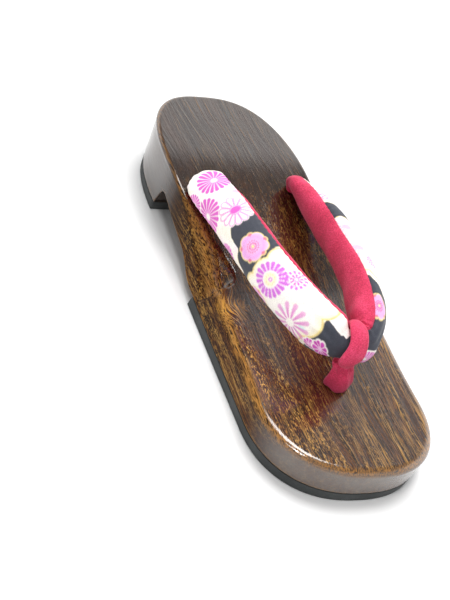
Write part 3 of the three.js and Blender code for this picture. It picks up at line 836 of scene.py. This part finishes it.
def print_colours(along, across, arm):
    """Colours of the printed cloth of one arm."""
    colours = np.ones(along.shape + (3,)) * linear(PALE)
    colours = lay(colours, IVORY, 0.4 * smooth(0.5 + lumps(along, across, 16.0, 60 + arm)))
    colours = lay(colours, FAINT_PINK, 0.3 * smooth(lumps(along, across, 13.0, 70 + arm)))
    wobble = 0.5 * lumps(along, across, 5.0, 80 + arm)
    for side, rear, front in DARKS:
        if side == arm:
            ahead = np.interp(across, *zip(*rear)) + wobble - along
            behind = along - np.interp(across, *zip(*front)) - wobble
            dark = np.maximum(ahead, behind)
            colours = lay(colours, GOLD_LINE, 0.6 * inside(dark - 0.4))
            colours = lay(colours, CHARCOAL, inside(dark))
    scraps = ring_distance(SCRAPS, arm, along, across) + 0.7 * lumps(along, across, 4.0, 90)
    colours = lay(colours, PALE, inside(scraps))
    cloud = ring_distance(CLOUDS, arm, along, across)
    colours = lay(colours, GOLD_LINE, inside(cloud))
    colours = lay(colours, IVORY, inside(cloud + 0.8))
    colours = lay(colours, PALE, inside(cloud + 2.4, 1.2))
    wash = smooth(lumps(along, 1.8 * across, 7.0, 95) - 0.1) * smooth((along - 95) / 8)
    colours = lay(colours, AQUA, 0.7 * wash * inside(cloud + 3.0, 1.0))
    for row in FLOWERS:
        if row[0] == arm:
            colours = flower_ink(colours, along, across, row)
    return colours


def point_at(x):
    """The strap near its point, cut square to X: centre y and z, half width and half thickness."""
    rows = ARM[::-1]
    reach = np.abs(x)
    y, z, wide, thick = [np.interp(reach, rows[:8, 0], rows[:8, c]) for c in (1, 2, 3, 4)]
    slope = np.diff(rows[:8, 1]) / np.diff(rows[:8, 0])
    part = np.clip(np.searchsorted(rows[:8, 0], reach, side="right") - 1, 0, len(slope) - 1)
    return y, z, wide, thick * np.hypot(1.0, slope[part])


def loop_band():
    """Points and faces of the band round the point of the V."""
    lean = math.radians(ARM[-1, 5])
    around = 120
    section = 36
    angle = np.linspace(0, 2 * math.pi, around, endpoint=False)[:, None]
    turn = np.linspace(0, 2 * math.pi, section, endpoint=False)[None, :]
    front = smooth(0.35 + 0.75 * np.sin(angle + math.radians(LOOP_RAISE)))
    foot = smooth(0.5 - 0.7 * np.cos(angle))
    half = between(LOOP_HALF_REAR, between(LOOP_HALF_TOP, LOOP_HALF_FOOT, foot), front)
    tilt = between(LOOP_TILT_TOP, LOOP_TILT_FOOT, foot) * smooth(1.2 * np.sin(angle))
    out = LOOP_GAP + LOOP_THICK + LOOP_THICK * np.cos(turn)
    x = half * np.sin(turn) + tilt * (ARM[-1, 3] + out) * np.cos(angle)
    here_y, here_z, here_wide, here_thick = point_at(x)
    wide = (here_wide + out) * np.cos(angle)
    thick = (here_thick + out) * np.sin(angle)
    y = here_y + wide * math.sin(lean) - thick * math.cos(lean)
    z = here_z + wide * math.cos(lean) + thick * math.sin(lean)
    points = settle(np.stack([x, y, z], 2)).reshape(-1, 3)
    faces = [[k % len(points) for k in face[::-1]] for face in ring_quads(around + 1, section)]
    return points, faces


def tuft_share(z):
    return smooth((TUFT_TOP_Z - z) / (TUFT_TOP_Z - TUFT_FULL_Z))


def loop_stem():
    """Points and faces of the stem from the band down to the wood."""
    steps = 60
    t = np.linspace(0, len(STEM) - 1, steps)
    rows = np.stack([np.interp(t, np.arange(len(STEM)), STEM[:, c]) for c in range(5)], 1)
    sides = 48
    turn = np.linspace(0, 2 * math.pi, sides, endpoint=False)[None, :]
    z = rows[:, 2:3] + 0 * turn
    power = 2 + TUFT_POWER * tuft_share(z)
    out = (np.abs(np.cos(turn)) ** power + np.abs(np.sin(turn)) ** power) ** (-1 / power)
    facing = turn + math.radians(TUFT_TURN)
    x = rows[:, 0:1] + rows[:, 3:4] * out * np.cos(facing)
    y = rows[:, 1:2] + rows[:, 4:5] * out * np.sin(facing)
    points = np.stack([x, y, z], 2).reshape(-1, 3)
    faces = ring_quads(steps, sides) + end_faces(steps, sides)
    return points, faces


def build_loop():
    """Band and stem fused into one soft skin, then puckered at the neck."""
    band_points, band_faces = loop_band()
    stem_points, stem_faces = loop_stem()
    shift = len(band_points)
    faces = band_faces + [[k + shift for k in face] for face in stem_faces]
    draft = make_object("toe_loop_draft", np.concatenate([band_points, stem_points]), faces)
    fuse = draft.modifiers.new("fuse", "REMESH")
    fuse.mode = "VOXEL"
    fuse.voxel_size = LOOP_VOXEL * MM
    soften = draft.modifiers.new("soften", "SMOOTH")
    soften.factor = 0.5
    soften.iterations = 5
    graph = bpy.context.evaluated_depsgraph_get()
    mesh = bpy.data.meshes.new_from_object(draft.evaluated_get(graph))
    bpy.data.objects.remove(draft)
    points = np.zeros(len(mesh.vertices) * 3)
    mesh.vertices.foreach_get("co", points)
    points = points.reshape(-1, 3) / MM
    normals = np.zeros(len(mesh.vertices) * 3)
    mesh.vertex_normals.foreach_get("vector", normals)
    relief = loop_relief(points)
    mesh.vertices.foreach_set("co", ((points + relief[:, None] * normals.reshape(-1, 3)) * MM).ravel())
    mesh.polygons.foreach_set("use_smooth", [True] * len(mesh.polygons))
    mesh.name = "toe_loop_visual"
    obj = bpy.data.objects.new("toe_loop_visual", mesh)
    bpy.context.scene.collection.objects.link(obj)
    return obj


def loop_relief(points):
    """Soft lumps all over and creases that run into the pinched neck, millimetres."""
    x, y, z = points.T
    turn = np.arctan2(y - NECK_Y, x - NECK_X)
    relief = 0.16 * lumps(x + 0.7 * y, z, 8.0, 40)
    near_neck = np.exp(-((z - NECK_Z) / 3.2) ** 2)
    folds = np.sin(7 * turn + 0.5 * (z - NECK_Z)) + 0.6 * np.sin(12 * turn + 2.0)
    gathers = np.sin(7 * turn + 0.35 * (z - NECK_Z) + 1.2 * lumps(x + y, z, 9.0, 41))
    return relief + NECK_FOLD * near_neck * folds + TUFT_FOLD * tuft_share(z) * gathers


class Nodes:
    """Short forms for building a tree of shading nodes."""

    def __init__(self, tree):
        self.tree = tree

    def put(self, socket, value):
        if isinstance(value, str):
            socket.default_value = shade_colour(value)
        elif isinstance(value, bpy.types.NodeSocket):
            self.tree.links.new(value, socket)
        else:
            socket.default_value = value

    def node(self, kind, inputs, **settings):
        made = self.tree.nodes.new(kind)
        for key, value in settings.items():
            setattr(made, key, value)
        for key, value in inputs.items():
            self.put(made.inputs[key], value)
        return made

    def scaled(self, vector, x, y, z):
        inputs = {0: vector, 1: (x, y, z)}
        return self.node("ShaderNodeVectorMath", inputs, operation="MULTIPLY").outputs[0]

    def math(self, operation, first, second=0.0):
        return self.node("ShaderNodeMath", {0: first, 1: second}, operation=operation).outputs[0]

    def plus(self, first, second):
        return self.math("ADD", first, second)

    def times(self, first, second):
        return self.math("MULTIPLY", first, second)

    def minus(self, first, second):
        return self.math("SUBTRACT", first, second)

    def axes(self, vector):
        split = self.node("ShaderNodeSeparateXYZ", {0: vector})
        return split.outputs[0], split.outputs[1], split.outputs[2]

    def join(self, x, y, z):
        return self.node("ShaderNodeCombineXYZ", {0: x, 1: y, 2: z}).outputs[0]

    def noise(self, vector, detail=2.0, roughness=0.5):
        inputs = {"Vector": vector, "Scale": 1.0, "Detail": detail, "Roughness": roughness}
        return self.node("ShaderNodeTexNoise", inputs).outputs["Fac"]

    def step(self, value, low, high, start=0.0, end=1.0):
        inputs = {"Value": value, "From Min": low, "From Max": high, "To Min": start, "To Max": end}
        return self.node("ShaderNodeMapRange", inputs, interpolation_type="SMOOTHSTEP").outputs["Result"]

    def mixed(self, kind, sockets, share, first, second):
        made = self.node("ShaderNodeMix", {}, data_type=kind)
        for socket, value in zip(sockets, (share, first, second)):
            self.put(made.inputs[socket], value)
        return made

    def mix(self, share, first, second):
        return self.mixed("RGBA", (0, 6, 7), share, first, second).outputs[2]

    def blend(self, share, first, second):
        return self.mixed("FLOAT", (0, 2, 3), share, first, second).outputs[0]

    def ramp(self, value, stops):
        made = self.node("ShaderNodeValToRGB", {0: value})
        bar = made.color_ramp.elements
        while len(bar) < len(stops):
            bar.new(0.5)
        for element, (place, code) in zip(bar, stops):
            element.position = place
            element.color = shade_colour(code)
        return made.outputs[0]


class Shade(Nodes):
    """One material, with places on its piece in millimetres."""

    def __init__(self, name):
        self.material = bpy.data.materials.new(name)
        self.material.use_nodes = True
        super().__init__(self.material.node_tree)
        self.shader = self.tree.nodes["Principled BSDF"]
        texture = self.tree.nodes.new("ShaderNodeTexCoord")
        self.place = self.scaled(texture.outputs["Object"], 1 / MM, 1 / MM, 1 / MM)

    def named(self, name, output="Fac"):
        return self.node("ShaderNodeAttribute", {}, attribute_name=name).outputs[output]

    def speckle(self, scale, detail=2.0, roughness=0.5):
        return self.noise(self.scaled(self.place, scale, scale, scale), detail, roughness)

    def bump(self, height, strength, distance):
        inputs = {"Height": height, "Strength": strength, "Distance": distance * MM}
        return self.node("ShaderNodeBump", inputs).outputs["Normal"]

    def finish(self, **sockets):
        for key, value in sockets.items():
            self.put(self.shader.inputs[key.replace("_", " ")], value)
        return self.material


def shade_colour(code):
    return (*linear(code).tolist(), 1.0)


def wood_material():
    """Charred and varnished wood: dark brown with golden grain along the sandal."""
    shade = Shade("charred_wood")
    x, y, z = shade.axes(shade.place)
    sway = shade.noise(shade.scaled(shade.place, 1 / 60, 1 / 130, 1 / 60), 2.0)
    ripple = shade.noise(shade.scaled(shade.place, 1 / 9, 1 / 34, 1 / 9), 2.0)
    side = shade.plus(x, shade.times(shade.minus(sway, 0.5), 20.0))
    side = shade.plus(side, shade.times(shade.minus(ripple, 0.5), 3.0))
    depth = shade.times(shade.minus(z, FORE_TOP), 1.6)
    centre = shade.join(shade.minus(x, KNOT_X), shade.minus(y, KNOT_Y), depth)
    away = shade.node("ShaderNodeVectorMath", {0: centre}, operation="LENGTH").outputs["Value"]
    knot = shade.step(away, KNOT_REACH, 1.0)
    side = shade.plus(side, shade.times(knot, shade.step(ripple, 0.3, 0.7, 1.5, 5.0)))

    def streak(across, along, detail, roughness=0.55):
        parts = [shade.times(v, 1 / s) for v, s in ((side, across), (y, along), (z, across))]
        return shade.noise(shade.join(*parts), detail, roughness)

    broad = streak(9.0, 150.0, 3.0)
    bands = streak(2.4, 60.0, 3.0)
    fibres = streak(0.5, 10.0, 2.0)
    dashes = streak(0.6, 2.0, 2.0, 0.6)
    patch = streak(4.5, 14.0, 2.0)
    strands = streak(1.0, 22.0, 3.0, 0.6)
    ridge = shade.math("ABSOLUTE", shade.minus(streak(2.2, 85.0, 4.0, 0.62), 0.5))
    flecks = shade.math("MAXIMUM", shade.named("flecks"), knot)
    lines = shade.named("lines")
    tone = shade.plus(shade.times(broad, 0.5), shade.times(fibres, 0.5))
    ground = shade.ramp(tone, [(0.3, "#100602"), (0.45, "#241004"), (0.58, "#391c0a"), (0.72, "#512d11")])
    gold = shade.mix(shade.step(bands, 0.38, 0.64), "#7d4c1b", "#cf9c4e")
    gold = shade.mix(knot, gold, "#f0b04a")
    thick = shade.times(shade.step(dashes, 0.52, 0.64), shade.step(patch, 0.25, 0.6, 0.35, 1.0))
    dash_share = shade.times(thick, flecks)
    knot_share = shade.times(knot, shade.step(strands, 0.48, 0.6))
    dash_share = shade.math("MAXIMUM", dash_share, knot_share)
    line_share = shade.times(shade.step(ridge, 0.042, 0.006), shade.step(fibres, 0.36, 0.58))
    strand_share = shade.times(shade.step(strands, 0.55, 0.68), 0.7)
    line_share = shade.math("MAXIMUM", line_share, strand_share)
    share = shade.math("MAXIMUM", dash_share, shade.times(line_share, lines))
    colour = shade.mix(share, ground, gold)
    wear = shade.times(shade.named("wear"), shade.step(fibres, 0.36, 0.6))
    colour = shade.mix(shade.times(wear, 0.7), colour, "#b57d38")
    colour = shade.mix(shade.times(shade.named("char"), 0.6), colour, "#140b07")
    # Painted reflection: grey mixed into the colour on the toe's and the heel's walls
    reflection_grey_mask = shade.times(shade.named("reflection_grey"), shade.step(tone, 0.36, 0.64, 1.0, 0.4))
    colour = shade.mix(reflection_grey_mask, colour, "#74685e")
    height = shade.plus(shade.times(fibres, 0.7), shade.times(dashes, 0.5))
    normal = shade.bump(height, 0.35, 0.35)
    sheen = shade.plus(shade.times(bands, 1.1), shade.times(height, 0.8))
    gloss = shade.bump(sheen, 0.25, 0.35)
    roughness = shade.step(bands, 0.3, 0.7, 0.5, 0.36)
    return shade.finish(
        Base_Color=colour, Roughness=roughness, Normal=normal, Specular_IOR_Level=0.05,
        Coat_Weight=shade.named("varnish"), Coat_Roughness=0.14, Coat_IOR=1.85, Coat_Normal=gloss,
    )


def rubber_material():
    """Charcoal foam rubber with a fine waffle tread underneath."""
    shade = Shade("charcoal_rubber")
    x, y, z = shade.axes(shade.place)
    grain = shade.speckle(1.1, 3.0, 0.65)
    cloud = shade.speckle(0.05, 2.0)
    tone = shade.plus(shade.times(grain, 0.5), shade.times(cloud, 0.5))
    colour = shade.ramp(tone, [(0.35, "#232525"), (0.5, "#333636"), (0.66, "#474a4a")])
    along = shade.math("PINGPONG", shade.plus(x, y), TREAD_PITCH / 2)
    across = shade.math("PINGPONG", shade.minus(x, y), TREAD_PITCH / 2)
    waffle = shade.math("MINIMUM", along, across)
    under = shade.step(z, 0.5, 0.05)
    height = shade.plus(shade.times(waffle, under), shade.times(grain, 0.12))
    return shade.finish(Base_Color=colour, Roughness=shade.step(grain, 0.3, 0.7, 0.62, 0.8),
                        Normal=shade.bump(height, 0.6, 0.6))


def crimson_material():
    """Soft felt-like crimson cloth, with painted shade darkening the tuft at the foot of the loop."""
    shade = Shade("crimson_cloth")
    nap = shade.speckle(1.6, 4.0, 0.7)
    patch = shade.speckle(0.09, 2.0)
    tone = shade.plus(shade.times(nap, 0.7), shade.times(patch, 0.3))
    colour = shade.ramp(tone, [(0.34, "#9c1939"), (0.5, "#cf2e55"), (0.66, "#e84d79")])
    _, _, z = shade.axes(shade.place)
    # Painted shade: the tuft below the neck is mixed towards a darker crimson
    colour = shade.mix(shade.step(z, TUFT_TOP_Z, TUFT_FULL_Z, 0.0, 0.6), colour, "#7d1230")
    roughness = shade.step(nap, 0.3, 0.7, 0.8, 0.95)
    return shade.finish(
        Base_Color=colour, Roughness=roughness, Normal=shade.bump(nap, 0.35, 0.3),
        Sheen_Weight=0.35, Sheen_Roughness=0.5, Sheen_Tint="#ff9fb4",
    )


def print_material():
    """Printed cotton: the print's own colours with a fine weave."""
    shade = Shade("printed_cotton")
    ink = shade.named("print", "Color")
    thread = shade.speckle(2.4, 2.0, 0.6)
    slub = shade.noise(shade.scaled(shade.place, 0.5, 0.25, 0.5), 3.0)
    worn = shade.step(thread, 0.3, 0.7, 0.84, 1.06)
    colour = shade.node("ShaderNodeVectorMath", {0: ink, "Scale": worn}, operation="SCALE").outputs[0]
    height = shade.plus(shade.times(thread, 0.7), shade.times(slub, 0.3))
    roughness = shade.step(slub, 0.3, 0.7, 0.78, 0.92)
    normal = shade.bump(height, 0.3, 0.25)
    return shade.finish(Base_Color=colour, Roughness=roughness, Normal=normal, Sheen_Weight=0.12)


def floor_material():
    """Pale matt floor."""
    shade = Shade("pale_floor")
    cloud = shade.speckle(0.004, 2.0)
    colour = shade.mix(shade.step(cloud, 0.3, 0.7), "#f4f4f4", "#f8f8f8")
    return shade.finish(Base_Color=colour, Roughness=0.9)


def area_light(name, place, size, power):
    """A round lamp turned to the sandal."""
    data = bpy.data.lights.new(name, "AREA")
    data.shape = "DISK"
    data.size = size
    data.energy = power
    obj = bpy.data.objects.new(name, data)
    obj.location = place
    obj.rotation_euler = (-Vector(place)).to_track_quat("-Z", "Y").to_euler()
    bpy.context.scene.collection.objects.link(obj)


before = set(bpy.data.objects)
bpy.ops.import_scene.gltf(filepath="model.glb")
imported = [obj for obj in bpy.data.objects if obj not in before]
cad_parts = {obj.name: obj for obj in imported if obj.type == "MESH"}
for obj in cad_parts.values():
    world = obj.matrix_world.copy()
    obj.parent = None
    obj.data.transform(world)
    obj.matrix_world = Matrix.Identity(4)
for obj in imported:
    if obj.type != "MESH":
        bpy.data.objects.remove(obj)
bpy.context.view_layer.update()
wood = wood_material()
rubber = rubber_material()
crimson = crimson_material()
printed = print_material()
for obj, material, slot, node, fill in (
    (build_base(), wood, "wood", "wood_base", None),
    (build_pad("front_sole_visual", FRONT_SOLE_END_Y, True), rubber, "rubber", "front_sole", None),
    (build_pad("heel_sole_visual", HEEL_SOLE_START_Y, False), rubber, "rubber", "heel_sole", None),
    (build_strap("strap_cover_visual", True, COVER_AROUND), printed, "print_cloth", "strap_cover",
     STRAP_FILL),
    (build_strap("strap_backing_visual", False, BACKING_AROUND), crimson, "crimson_cloth", "strap_backing",
     STRAP_FILL),
    (build_loop(), crimson, "crimson_cloth", "toe_loop", LOOP_FILL),
):
    obj.data.materials.append(material)
    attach(obj, "root")
    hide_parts(node)

floor_mesh = bpy.data.meshes.new("floor")
corners = [(FLOOR_HALF * a, FLOOR_HALF * b, 0) for a, b in ((-1, -1), (1, -1), (1, 1), (-1, 1))]
floor_mesh.from_pydata(corners, [], [(0, 1, 2, 3)])
floor = bpy.data.objects.new("floor", floor_mesh)
floor.data.materials.append(floor_material())
bpy.context.scene.collection.objects.link(floor)

camera_data = bpy.data.cameras.new("camera")
camera_data.lens = CAMERA_LENS
camera_data.sensor_width = 36.0
camera = bpy.data.objects.new("camera", camera_data)
axes = Matrix((CAMERA_RIGHT, [-c for c in CAMERA_DOWN], [-c for c in CAMERA_FORWARD])).transposed()
camera.matrix_world = Matrix.Translation(CAMERA_PLACE) @ axes.to_4x4()
bpy.context.scene.collection.objects.link(camera)
bpy.context.scene.camera = camera

area_light("key", KEY_PLACE, KEY_SIZE, KEY_POWER)
area_light("glint", GLINT_PLACE, GLINT_SIZE, GLINT_POWER)
world = bpy.data.worlds.new("world")
bpy.context.scene.world = world
world.use_nodes = True
sky = Nodes(world.node_tree)
heading_x, heading_y, height = sky.axes(sky.tree.nodes.new("ShaderNodeTexCoord").outputs["Generated"])
facing = sky.plus(sky.times(heading_x, BACK_X), sky.times(heading_y, BACK_Y))
low_glow = sky.step(facing, 0.1, 0.55, SIDE_GLOW, BACK_GLOW)
background = sky.tree.nodes["Background"]
sky.put(background.inputs["Color"], (1, 1, 1, 1))
glow = sky.blend(sky.step(height, LOW_SKY, HIGH_SKY), low_glow, HIGH_GLOW)
sky.put(background.inputs["Strength"], glow)
bpy.context.scene.view_settings.view_transform = "Standard"
